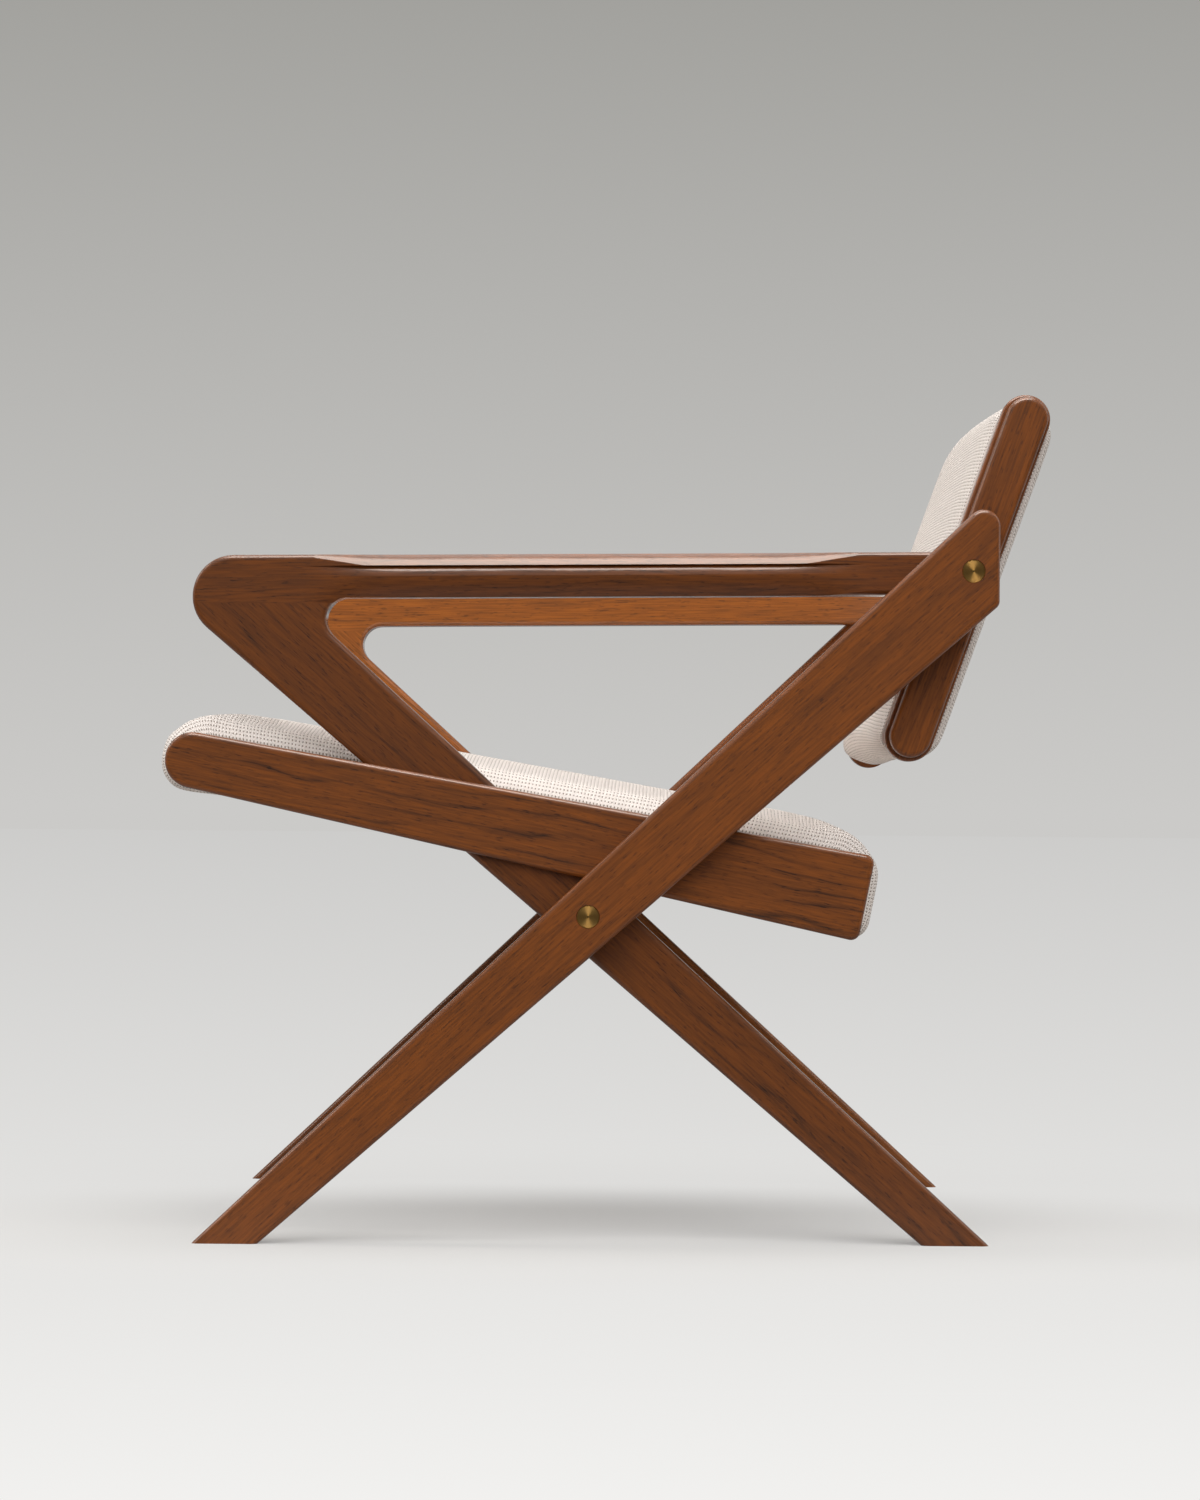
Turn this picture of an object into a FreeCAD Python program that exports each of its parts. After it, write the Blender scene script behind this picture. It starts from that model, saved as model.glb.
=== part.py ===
import FreeCAD, Part
import math
import os

V = FreeCAD.Vector

# Easy chair with crossed legs, in millimetres and degrees.
# x runs across the chair, y from its front to its back, and z up from the floor.

# Whole chair
chair_width = 640.0
arris_radius = 4.5
corner_share = 0.9

# Main legs, from the front foot up to the back pivot
main_leg_thickness = 28.0
front_foot_y = -320.5
pivot_y = 320.2
pivot_z = 583.1
main_leg_foot_width = 38.2
main_leg_pivot_width = 73.4
main_leg_end_reach = 22.8
main_leg_crown_radius = 14.0
main_leg_heel_radius = 8.0

# Arm legs, from the rear foot up to the front of the armrest
rear_foot_y = 311.0
arm_leg_head_y = -319.8
arm_leg_head_z = 557.0
arm_leg_foot_width = 38.8
arm_leg_head_width = 69.8

# Armrests
arm_thickness = 34.0
arm_top_z = 598.0
arm_pitch = 0.7
arm_depth = 37.5
arm_nose_radius = 36.0
arm_window_radius = 19.0
arm_joint_drop = 5.0
arm_end_radius = 6.0
arm_end_gap = 6.0

# Scoop along the armrest's outer face: a roll on top, a crease under it, then a belly that swells and turns under
scoop_front_y = -268.0
scoop_rear_y = 240.0
scoop_run_out = 90.0
scoop_roll = 8.5
scoop_crease_depth = 5.2
scoop_crease_drop = 1.8
scoop_swell_depth = 0.6
scoop_swell_drop = 10.5
scoop_belly_depth = 12.5
scoop_steps = 4
scoop_exit_share = 0.04
roll_reach = 9.5
roll_set_in = 2.0
roll_radius = 30.0
roll_start_share = 0.2

# Seat rails
rail_inset = 20.0
rail_nose_y = -353.0
rail_nose_z = 415.5
rail_nose_radius = 24.3
rail_top_pitch = 9.9
rail_bottom_pitch = 12.5
rail_reach = 596.0
rail_end_radius = 8.0

# Cross stretcher between the two crossings
stretcher_radius = 14.0

# Turned brass bolts
bolt_head_radius = 10.0
bolt_head_thickness = 4.0
bolt_head_recess = 0.3
bolt_head_bevel = 0.6
crossing_bolt_radius = 4.0
pivot_bolt_radius = 5.0
pivot_bolt_tip_gap = 4.0
insert_radius = 7.0
insert_length = 30.0
bush_wall = 3.0
washer_radius = 13.0
washer_thickness = 1.7
bolt_clearance = 0.1
running_clearance = 0.05

# Backrest frame
back_tilt = 19.75
back_top_reach = 166.0
back_bottom_reach = 172.5
back_washer_gap = 2.0
back_end_width = 43.0
back_end_thickness = 16.0
back_plate_step = 3.3
back_plate_thickness = 18.0
back_end_arris_radius = 2.5
back_rail_depth = 22.0
back_rail_height = 34.0
back_top_rail_inset = 18.0
back_bottom_rail_inset = 18.0

# Upholstery
cover_thickness = 1.5
seat_side_gap = 0.5
seat_rise = 20.0
seat_drop = 1.0
seat_front_overhang = 10.0
seat_rear_overhang = 11.0
seat_edge_radius = 14.0
seat_crown = 5.0
seat_nose_top_radius = 44.0
seat_nose_bottom_radius = 25.0
nose_share = 0.96
seat_rear_top_radius = 42.0
seat_rear_bottom_radius = 18.0
back_side_gap = 0.3
back_front_rise = 5.0
back_rear_rise = 6.5
back_end_set_in = 6.0
back_bottom_set_in = 3.0
back_edge_radius = 5.0
back_front_crown = 9.0
back_rear_crown = 2.5
back_corner_radius = 23.0
pad_edge_angles = (0, 30, 60, 90)
pad_settling_edges = (1.5, 4.0)
pad_crown_shares = (0.6, 0.3)
least_pad_radius = 2.0

# Seat frame under the cover
seat_front_foam = 29.0
seat_rear_foam = 22.0
seat_side_foam = 14.0
seat_member_thickness = 28.0
seat_side_member_thickness = 22.0
seat_member_height = 42.0
underlining_margin = 12.0
underlining_gap = 0.5

# Webbing straps
webbing_thickness = 2.5
webbing_width = 56.0
seat_strap_count = 5
seat_strap_edge_gap = 12.0
back_strap_count = 5
back_strap_edge_gap = 48.0

# Screws, plugs and dowels
screw_radius = 2.5
screw_head_radius = 5.0
screw_head_thickness = 3.0
screw_tip_cover = 8.0
rail_screw_spacing = 26.0
seat_screw_inset = 40.0
seat_screw_bite = 18.0
arm_screw_edge = 9.0
arm_screw_rises = (9.0, 24.0)
plug_depth = 6.0
arm_dowel_radius = 5.0
arm_dowel_half_length = 20.0
arm_dowel_front_inset = 42.0
arm_dowel_rear_inset = 13.0
frame_dowel_radius = 4.0
frame_dowel_bite = 10.0
frame_dowel_spacing = 18.0
plate_dowel_top_gap = 14.0
plate_dowel_bottom_gap = 17.0

# Layers of one side, from its outer face towards the middle of the chair
x_out = chair_width / 2
x_lap = x_out - main_leg_thickness
x_in = x_lap - arm_thickness
x_half = x_lap - arm_thickness / 2
x_rail = x_out - rail_inset
x_plate = x_lap - back_washer_gap
x_end = x_plate - back_plate_thickness
x_back = x_end - back_end_thickness

origin = V(0, 0, 0)
across = V(1, 0, 0)
left = (1, "left")
right = (-1, "right")


# Lines of the side view: a point and the direction that the line runs in
def line(y, z, pitch):
    angle = math.radians(pitch)
    return V(0, y, z), V(0, math.cos(angle), math.sin(angle))


def through(start, end):
    return start, (end - start).normalize()


def shifted(one, distance):
    """The same line moved to the left of the direction that it runs in."""
    point, direction = one
    return point + V(0, -direction.z, direction.y) * distance, direction


def turned_back(one):
    """The same line, run the other way."""
    point, direction = one
    return point, direction * -1


def along(one, distance):
    point, direction = one
    return point + direction * distance


def meet(one, other):
    """The point where two lines cross."""
    point, direction = one
    goal, heading = other
    gap = goal - point
    turn = direction.y * heading.z - direction.z * heading.y
    return point + direction * ((gap.y * heading.z - gap.z * heading.y) / turn)


def tapered(start, end, start_width, end_width):
    """The two edges of a straight board that changes width, left edge first."""
    heading = (end - start).normalize()
    square = V(0, -heading.z, heading.y)
    left_edge = through(start + square * (start_width / 2), end + square * (end_width / 2))
    right_edge = through(start - square * (start_width / 2), end - square * (end_width / 2))
    return left_edge, right_edge


def outline(sides, radii, x):
    """Closed wire at x along the given sides, with an arc where each side meets the next one."""
    count = len(sides)
    corners = [meet(sides[i], sides[(i + 1) % count]) for i in range(count)]
    bends = []
    for i in range(count):
        corner = corners[i]
        back = (corners[i - 1] - corner).normalize()
        ahead = (corners[(i + 1) % count] - corner).normalize()
        half_angle = back.getAngle(ahead) / 2
        reach = radii[i] / math.tan(half_angle)
        middle = (back + ahead).normalize()
        crest = corner + middle * (radii[i] / math.sin(half_angle) - radii[i])
        bends.append((corner + back * reach, crest, corner + ahead * reach))
    edges = []
    for i in range(count):
        start, crest, end = bends[i]
        following = bends[(i + 1) % count][0]
        if radii[i] > 0:
            edges.append(Part.Arc(start, crest, end).toShape())
        if end.distanceToPoint(following) > 1e-4:
            edges.append(Part.LineSegment(end, following).toShape())
    wire = Part.Wire(edges)
    wire.translate(across * x)
    return wire


def slab(sides, radii, x_from, x_to):
    """Straight block with the given side outline, between two places across the chair."""
    return Part.Face(outline(sides, radii, x_from)).extrude(across * (x_to - x_from))


def board(sides, radii, x_from, x_to, from_arris, to_arris):
    """Block whose two faces have rounded arrises, apart from those that stand on the floor."""
    solid = slab(sides, radii, x_from, x_to)
    tightest = corner_share * min(radius for radius in radii if radius > 0)
    for x, arris in ((x_from, from_arris), (x_to, to_arris)):
        if arris > 0:
            arrises = []
            for edge in solid.Edges:
                box = edge.BoundBox
                on_face = abs(box.XMin - x) < 1e-6 and abs(box.XMax - x) < 1e-6
                if on_face and box.ZMax > 1e-6:
                    arrises.append(edge)
            solid = solid.makeFillet(min(arris, tightest), arrises).Solids[0]
    return solid


def rod(x_from, x_to, centre, radius):
    """Cylinder across the chair."""
    start = V(min(x_from, x_to), centre.y, centre.z)
    return Part.makeCylinder(radius, abs(x_to - x_from), start, across)


def screw(x_head, x_tip, centre):
    """Screw across the chair, with the outer face of its head at x_head."""
    inwards = math.copysign(1, x_tip - x_head)
    head = rod(x_head, x_head + inwards * screw_head_thickness, centre, screw_head_radius)
    return head.fuse(rod(x_head, x_tip, centre, screw_radius)).removeSplitter()


def mirrored(shape):
    return shape.mirror(origin, across)


# Side view of the legs, the armrest and the seat rail
floor = line(0, 0, 180)
front_foot = V(0, front_foot_y, 0)
rear_foot = V(0, rear_foot_y, 0)
pivot = V(0, pivot_y, pivot_z)
arm_leg_head = V(0, arm_leg_head_y, arm_leg_head_z)
main_leg_axis = through(front_foot, pivot)
arm_leg_axis = through(rear_foot, arm_leg_head)
crossing = meet(main_leg_axis, arm_leg_axis)

main_leg_top, main_leg_under = tapered(front_foot, pivot, main_leg_foot_width, main_leg_pivot_width)
main_leg_end = line(pivot_y + main_leg_end_reach, 0, -90)
main_leg_sides = [main_leg_top, main_leg_end, main_leg_under, floor]
main_leg_radii = [main_leg_crown_radius, main_leg_heel_radius, 0, 0]

back_axis = line(pivot_y, pivot_z, 90 - back_tilt)
arm_leg_front, arm_leg_rear = tapered(rear_foot, arm_leg_head, arm_leg_foot_width, arm_leg_head_width)
arm_top = line(0, arm_top_z, arm_pitch)
arm_under = shifted(arm_top, -arm_depth)
arm_end = shifted(back_axis, back_end_width / 2 + arm_end_gap)
arm_sides = [arm_top, arm_end, arm_under, arm_leg_rear, floor, arm_leg_front]
arm_radii = [arm_end_radius, arm_end_radius, arm_window_radius, 0, 0, arm_nose_radius]
arm_joint_z = meet(arm_under, arm_leg_rear).z - arm_joint_drop

rail_pitch = (rail_top_pitch + rail_bottom_pitch) / 2
rail_axis = line(rail_nose_y, rail_nose_z, -rail_pitch)
rail_end = along(rail_axis, rail_reach)
rail_top = shifted(line(rail_nose_y, rail_nose_z, -rail_top_pitch), rail_nose_radius)
rail_rear = line(rail_end.y, rail_end.z, -90 - rail_pitch)
rail_bottom = shifted(line(rail_nose_y, rail_nose_z, 180 - rail_bottom_pitch), rail_nose_radius)
rail_front = shifted(line(rail_nose_y, rail_nose_z, 90 - rail_pitch), rail_nose_radius)
rail_sides = [rail_top, rail_rear, rail_bottom, rail_front]
rail_radii = [rail_end_radius, rail_end_radius, rail_nose_radius, rail_nose_radius]

# Where the fixings of one side go
main_rail_crossing = meet(rail_axis, main_leg_axis)
arm_rail_crossing = meet(rail_axis, arm_leg_axis)
rail_run = rail_axis[1] * (rail_screw_spacing / 2)
main_rail_screws = [main_rail_crossing - rail_run, main_rail_crossing + rail_run]
arm_rail_screws = [arm_rail_crossing - rail_run, arm_rail_crossing + rail_run]
arm_screw_line = shifted(main_leg_top, -arm_screw_edge)
arm_screws = [meet(arm_screw_line, shifted(arm_under, rise)) for rise in arm_screw_rises]
joint_level = line(0, arm_joint_z, 0)
arm_dowels = [
    meet(joint_level, arm_leg_front) + V(x_half, arm_dowel_front_inset, -arm_dowel_half_length),
    meet(joint_level, arm_leg_rear) + V(x_half, -arm_dowel_rear_inset, -arm_dowel_half_length),
]
bolt_seat = bolt_head_recess + bolt_head_thickness
pieces = {}


def bolt_hole(centre, shank_radius):
    """Bore through the whole side, with the sinking for a bolt's head at its outer face."""
    bore = rod(x_in, x_out, centre, shank_radius + bolt_clearance)
    sinking = rod(x_out - bolt_seat, x_out, centre, bolt_head_radius + bolt_clearance)
    return bore.fuse(sinking)


def bolt(centre, shank_radius, x_tip):
    """Brass bolt with a flat turned head that lies just below the leg's face."""
    x_face = x_out - bolt_head_recess
    head = rod(x_out - bolt_seat, x_face, centre, bolt_head_radius)
    rim = [edge for edge in head.Edges if abs(edge.BoundBox.XMin - x_face) < 1e-6]
    head = head.makeChamfer(bolt_head_bevel, rim)
    return head.fuse(rod(x_tip, x_out - bolt_seat, centre, shank_radius)).removeSplitter()


# Main leg: a straight tapered board, housed over the seat rail on its inner face
main_leg = board(main_leg_sides, main_leg_radii, x_out, x_lap, arris_radius, arris_radius)
main_leg = main_leg.cut(slab(rail_sides, rail_radii, x_lap, x_rail))
main_leg = main_leg.cut(bolt_hole(crossing, crossing_bolt_radius))
main_leg = main_leg.cut(bolt_hole(pivot, pivot_bolt_radius))
for centre in main_rail_screws + arm_screws:
    main_leg = main_leg.cut(rod(x_lap, x_out - screw_tip_cover, centre, screw_radius))

# Arm leg and armrest: one outline, glued at a level joint under the armrest
side_board = board(arm_sides, arm_radii, x_lap, x_in, arris_radius, arris_radius)
reach = chair_width
below_joint = Part.makeBox(reach, 4 * reach, arm_joint_z, V(0, -2 * reach, 0))
arm_leg = side_board.common(below_joint)
arm_leg = arm_leg.cut(slab(rail_sides, rail_radii, x_lap, x_half))
arm_leg = arm_leg.cut(bolt_hole(crossing, crossing_bolt_radius))
for centre in arm_rail_screws:
    arm_leg = arm_leg.cut(screw(x_in, x_rail - screw_tip_cover, centre))
armrest = side_board.cut(below_joint)
for start in arm_dowels:
    dowel = Part.makeCylinder(arm_dowel_radius, 2 * arm_dowel_half_length, start)
    arm_leg = arm_leg.cut(dowel)
    armrest = armrest.cut(dowel)
for centre in arm_screws:
    armrest = armrest.cut(screw(x_in + plug_depth, x_out - screw_tip_cover, centre))
    armrest = armrest.cut(rod(x_in, x_in + plug_depth, centre, screw_head_radius))


def scoop_section(y, share):
    """Section of the scoop at y, with its depths as shares of their full size."""
    ceiling = meet(arm_top, line(y, 0, 90)).z - scoop_roll
    outside = x_lap + 2 * arris_radius
    bottom = ceiling + scoop_roll - arm_depth - arris_radius
    crease = V(x_lap - scoop_crease_depth * share, y, ceiling - scoop_crease_drop)
    swell = V(x_lap - scoop_swell_depth * share, y, ceiling - scoop_swell_drop)
    belly = V(x_lap - scoop_belly_depth * share, y, bottom)
    above_swell = V(swell.x + (crease.x - swell.x) / 4, y, (crease.z + swell.z) / 2)
    below_swell = V(swell.x + (belly.x - swell.x) / 4, y, (swell.z + belly.z) / 2)
    top_corner = V(outside, y, ceiling)
    bottom_corner = V(outside, y, bottom)
    return Part.Wire([
        Part.LineSegment(top_corner, crease).toShape(),
        Part.Arc(crease, above_swell, swell).toShape(),
        Part.Arc(swell, below_swell, belly).toShape(),
        Part.LineSegment(belly, bottom_corner).toShape(),
        Part.LineSegment(bottom_corner, top_corner).toShape(),
    ])


def roll_section(y, share):
    """Section at y of the cut that rounds the roll's outer edge, at a share of its full size."""
    top = meet(arm_top, line(y, 0, 90)).z
    start = V(x_lap - roll_reach * share, y, top)
    end = V(x_lap - roll_set_in * share, y, top - scoop_roll * share)
    chord = end - start
    outwards = V(-chord.z, 0, chord.x).normalize()
    half_angle = math.asin(chord.Length / 2 / (roll_radius * share))
    crest = (start + end) * 0.5 + outwards * (chord.Length / 2 * math.tan(half_angle / 2))
    run = chord * 0.5
    slope = outwards * (chord.Length / 2 * math.tan(half_angle))
    lead_in = start - run - slope
    lead_out = end + run - slope
    corner = V(x_lap + 2 * arris_radius, y, top + 2 * arris_radius)
    return Part.Wire([
        Part.LineSegment(lead_in, start).toShape(),
        Part.Arc(start, crest, end).toShape(),
        Part.LineSegment(end, lead_out).toShape(),
        Part.LineSegment(lead_out, corner).toShape(),
        Part.LineSegment(corner, lead_in).toShape(),
    ])


# The roll and the scoop are at full size along the middle and run out smoothly to both ends
roll_wires = []
for i in range(scoop_steps + 1):
    share = roll_start_share + (1 - roll_start_share) * math.sin(math.pi / 2 * i / scoop_steps) ** 2
    roll_wires.append(roll_section(scoop_front_y + scoop_run_out * i / scoop_steps, share))
middle_run = scoop_rear_y - scoop_front_y - 2 * scoop_run_out
middle_places = [scoop_front_y + scoop_run_out + middle_run * i / scoop_steps for i in range(1, scoop_steps)]
for y in middle_places:
    roll_wires.append(roll_section(y, 1))
for i in range(scoop_steps + 1):
    share = roll_start_share + (1 - roll_start_share) * math.cos(math.pi / 2 * i / scoop_steps) ** 2
    roll_wires.append(roll_section(scoop_rear_y - scoop_run_out * (1 - i / scoop_steps), share))
armrest = armrest.cut(Part.makeLoft(roll_wires, True, False))
scoop_wires = []
for i in range(scoop_steps + 1):
    share = math.sin(math.pi / 2 * i / scoop_steps) ** 2 - scoop_exit_share
    scoop_wires.append(scoop_section(scoop_front_y + scoop_run_out * i / scoop_steps, share))
for y in middle_places:
    scoop_wires.append(scoop_section(y, 1 - scoop_exit_share))
for i in range(scoop_steps + 1):
    share = math.cos(math.pi / 2 * i / scoop_steps) ** 2 - scoop_exit_share
    scoop_wires.append(scoop_section(scoop_rear_y - scoop_run_out * (1 - i / scoop_steps), share))
armrest = armrest.cut(Part.makeLoft(scoop_wires, True, False))

# Seat rail: a tapered board with a round nose, halved over the arm leg
seat_rail = board(rail_sides, rail_radii, x_rail, x_in, arris_radius, arris_radius)
seat_rail = seat_rail.cut(slab(arm_sides, arm_radii, x_in, x_half))
for centre in main_rail_screws:
    seat_rail = seat_rail.cut(screw(x_in, x_out - screw_tip_cover, centre))
for centre in arm_rail_screws:
    seat_rail = seat_rail.cut(screw(x_in, x_rail - screw_tip_cover, centre))

# Cross stretcher with a threaded insert in each end
stretcher = rod(-x_in, x_in, crossing, stretcher_radius)
insert = rod(x_in - insert_length, x_in, crossing, insert_radius)
stretcher = stretcher.cut(insert).cut(mirrored(insert))
insert = insert.cut(rod(x_in - insert_length, x_in, crossing, crossing_bolt_radius + running_clearance))
crossing_bolt = bolt(crossing, crossing_bolt_radius, x_in - insert_length)

# Back pivot: a bolt in the main leg turns in a bush in the backrest, with a friction washer between them
bush_radius = pivot_bolt_radius + running_clearance + bush_wall
pivot_bolt = bolt(pivot, pivot_bolt_radius, x_back + pivot_bolt_tip_gap)
bush = rod(x_back, x_plate, pivot, bush_radius)
bush = bush.cut(rod(x_back, x_plate, pivot, pivot_bolt_radius + running_clearance))
washer = rod(x_lap - washer_thickness, x_lap, pivot, washer_radius)
washer = washer.cut(rod(x_lap - washer_thickness, x_lap, pivot, pivot_bolt_radius + bolt_clearance))


# Backrest frame: an outer plate on each back end, and two rails between the ends
def back_sides(front, rear, top, bottom):
    """Side outline of the backrest at the given distances from the pivot."""
    up = back_axis[1]
    top_point = pivot + up * top
    bottom_point = pivot - up * bottom
    return [
        line(top_point.y, top_point.z, -back_tilt),
        shifted(line(pivot_y, pivot_z, -90 - back_tilt), rear),
        line(bottom_point.y, bottom_point.z, 180 - back_tilt),
        shifted(back_axis, front),
    ]


half_end = back_end_width / 2
half_plate = half_end - back_plate_step
end_sides = back_sides(half_end, half_end, back_top_reach, back_bottom_reach)
plate_sides = back_sides(
    half_plate, half_plate, back_top_reach - back_plate_step, back_bottom_reach - back_plate_step
)
half_rail = back_rail_depth / 2
top_rail_top = back_top_reach - back_top_rail_inset
top_rail_bottom = top_rail_top - back_rail_height
bottom_rail_bottom = back_bottom_reach - back_bottom_rail_inset
bottom_rail_top = bottom_rail_bottom - back_rail_height
bush_seat = rod(x_back, x_plate, pivot, bush_radius)
plate_dowels = []
for reach_up in (top_rail_bottom - plate_dowel_top_gap, plate_dowel_bottom_gap - bottom_rail_top):
    centre = along(back_axis, reach_up)
    plate_dowels.append(rod(x_end - frame_dowel_bite, x_end + frame_dowel_bite, centre, frame_dowel_radius))
back_plate = board(plate_sides, [half_plate] * 4, x_plate, x_end, arris_radius, 0).cut(bush_seat)
back_end = board(end_sides, [half_end] * 4, x_end, x_back, back_end_arris_radius, 0).cut(bush_seat)
for dowel in plate_dowels:
    back_plate = back_plate.cut(dowel)
    back_end = back_end.cut(dowel)

back_rail_spans = {
    "back_top_rail": (top_rail_top, -top_rail_bottom),
    "back_bottom_rail": (-bottom_rail_top, bottom_rail_bottom),
}
back_rail_dowels = []
for name, (top, bottom) in back_rail_spans.items():
    rail = slab(back_sides(half_rail, half_rail, top, bottom), [0] * 4, -x_back, x_back)
    for offset in (-frame_dowel_spacing / 2, frame_dowel_spacing / 2):
        centre = along(back_axis, (top - bottom) / 2 + offset)
        dowel = rod(x_back - frame_dowel_bite, x_back + frame_dowel_bite, centre, frame_dowel_radius)
        back_end = back_end.cut(dowel)
        for one in (dowel, mirrored(dowel)):
            rail = rail.cut(one)
            back_rail_dowels.append(one)
    pieces[name] = rail



def straps(sides, edge, count):
    """Straps of webbing across the chair, spread evenly between -edge and edge."""
    bands = []
    for i in range(count):
        start = (2 * edge - webbing_width) * i / (count - 1) - edge
        bands.append(slab(sides, [0] * 4, start, start + webbing_width))
    return bands


strap_sides = back_sides(half_rail + webbing_thickness, -half_rail, top_rail_top, bottom_rail_bottom)
back_straps = straps(strap_sides, x_back - back_strap_edge_gap, back_strap_count)


def padded_form(sides, radii, half_width, edge_radius, crowns, skin, end_skin):
    """Padded block across the chair: its outline draws in at both ends round an edge and swells to a crown.

    skin sets the whole form in from the outer one, and end_skin does the same at its two end faces.
    """
    end_x = half_width - end_skin
    edge = edge_radius - end_skin
    stations = []
    for angle in pad_edge_angles:
        turn = math.radians(angle)
        stations.append((end_x - edge * (1 - math.cos(turn)), edge * (1 - math.sin(turn))))
    for edges in pad_settling_edges:
        stations.append((half_width - edge_radius * (1 + edges), 0))
    for share in pad_crown_shares:
        stations.append((half_width * share, 0))
    wires = []
    for x, draw_in in stations + [(0, 0)] + [(-x, draw_in) for x, draw_in in reversed(stations)]:
        swell = 1 - (x / half_width) ** 2
        moved = []
        for side, crown in zip(sides, crowns):
            moved.append(shifted(side, crown * swell - draw_in - skin))
        wires.append(outline(moved, [max(r - draw_in - skin, least_pad_radius) for r in radii], x))
    return Part.makeLoft(wires, True, False)


# Seat upholstery: foam round a webbed frame, in a cover that is open below and closed by an underlining
pad_top = shifted(rail_top, seat_rise)
pad_rear = shifted(rail_rear, seat_rear_overhang)
pad_bottom = shifted(rail_bottom, seat_drop)
pad_front = shifted(rail_front, seat_front_overhang)
pad_sides = [pad_top, pad_rear, pad_bottom, pad_front]
nose_height = meet(pad_front, pad_top).distanceToPoint(meet(pad_front, pad_bottom))
nose_fit = min(1, nose_share * nose_height / (seat_nose_top_radius + seat_nose_bottom_radius))
pad_radii = [
    seat_rear_top_radius,
    seat_rear_bottom_radius,
    seat_nose_bottom_radius * nose_fit,
    seat_nose_top_radius * nose_fit,
]
pad_crowns = [seat_crown, 0, 0, 0]
seat_half = x_in - seat_side_gap
seat_outer = padded_form(pad_sides, pad_radii, seat_half, seat_edge_radius, pad_crowns, 0, 0)
seat_inner = padded_form(
    pad_sides, pad_radii, seat_half, seat_edge_radius, pad_crowns, cover_thickness, cover_thickness
)

seat_base = shifted(pad_bottom, -cover_thickness)
member_top = turned_back(shifted(seat_base, -seat_member_height))
strap_top = shifted(member_top, webbing_thickness)
member_front = shifted(pad_front, -seat_front_foam)
member_rear = shifted(pad_rear, -seat_rear_foam)
front_member_back = shifted(member_front, -seat_member_thickness)
rear_member_front = shifted(member_rear, -seat_member_thickness)
side_x = seat_half - cover_thickness - seat_side_foam
side_member_x = side_x - seat_side_member_thickness
sharp = [0] * 4
seat_front_member = slab([member_top, front_member_back, seat_base, member_front], sharp, -side_x, side_x)
seat_rear_member = slab([member_top, member_rear, seat_base, rear_member_front], sharp, -side_x, side_x)
side_member_sides = [member_top, rear_member_front, seat_base, front_member_back]
seat_side_member = slab(side_member_sides, sharp, side_member_x, side_x)

member_middle = shifted(seat_base, -seat_member_height / 2)
front_corner = meet(member_middle, front_member_back)
rear_corner = meet(member_middle, rear_member_front)
member_run = (rear_corner - front_corner).normalize()
member_rise = V(0, -member_run.z, member_run.y)
seat_dowels = []
for corner in (front_corner, rear_corner):
    for offset in (-frame_dowel_spacing / 2, frame_dowel_spacing / 2):
        start = corner + member_rise * offset - member_run * frame_dowel_bite
        start = start + across * (side_member_x + seat_side_member_thickness / 2)
        dowel = Part.makeCylinder(frame_dowel_radius, 2 * frame_dowel_bite, start, member_run)
        seat_dowels += [dowel, mirrored(dowel)]
        seat_side_member = seat_side_member.cut(dowel)
for dowel in seat_dowels:
    seat_front_member = seat_front_member.cut(dowel)
    seat_rear_member = seat_rear_member.cut(dowel)

seat_screws = []
for centre in (front_corner + member_run * seat_screw_inset, rear_corner - member_run * seat_screw_inset):
    fixing = screw(side_member_x - screw_head_thickness, x_in + seat_screw_bite, centre)
    seat_screws += [fixing, mirrored(fixing)]
    seat_side_member = seat_side_member.cut(fixing)
    seat_rail = seat_rail.cut(fixing)

strap_outline = [strap_top, member_rear, member_top, member_front]
seat_straps = straps(strap_outline, side_member_x - seat_strap_edge_gap, seat_strap_count)

seat_space = slab([strap_top, member_rear, seat_base, member_front], sharp, -side_x, side_x)
open_below = shifted(pad_bottom, seat_member_height)
seat_void = slab([strap_top, member_rear, open_below, member_front], sharp, -side_x, side_x)
lining_front = shifted(member_front, -underlining_margin)
lining_rear = shifted(member_rear, -underlining_margin)
lining_x = side_x - underlining_margin
lining_sides = [seat_base, lining_rear, pad_bottom, lining_front]
underlining = slab(lining_sides, sharp, -lining_x, lining_x)
hem_sides = [
    strap_top,
    shifted(lining_rear, underlining_gap),
    open_below,
    shifted(lining_front, underlining_gap),
]
hem_x = lining_x + underlining_gap
seat_cover = seat_outer.cut(seat_inner).cut(seat_space).cut(slab(hem_sides, sharp, -hem_x, hem_x))
seat_foam = seat_inner.cut(seat_void)
for fixing in seat_screws:
    seat_cover = seat_cover.cut(fixing)
    seat_foam = seat_foam.cut(fixing)

# Back upholstery: foam on both faces of the webbed rails, in a cover that tucks in at the back ends
cushion_sides = back_sides(
    half_end + back_front_rise,
    half_end + back_rear_rise,
    back_top_reach - back_end_set_in,
    back_bottom_reach - back_bottom_set_in,
)
cushion_half = x_back - back_side_gap
cushion_crowns = [0, back_rear_crown, 0, back_front_crown]
cushion_radii = [back_corner_radius] * 4
back_outer = padded_form(
    cushion_sides, cushion_radii, cushion_half, back_edge_radius, cushion_crowns, 0, 0
)
back_inner = padded_form(
    cushion_sides,
    cushion_radii,
    cushion_half,
    back_edge_radius,
    cushion_crowns,
    cover_thickness,
    cover_thickness,
)
core_sides = back_sides(half_rail + webbing_thickness, half_rail, top_rail_top, bottom_rail_bottom)
back_core = slab(core_sides, sharp, -x_back, x_back)
back_cover = back_outer.cut(back_inner).cut(back_core)
back_foam = back_inner.cut(back_core)

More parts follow.
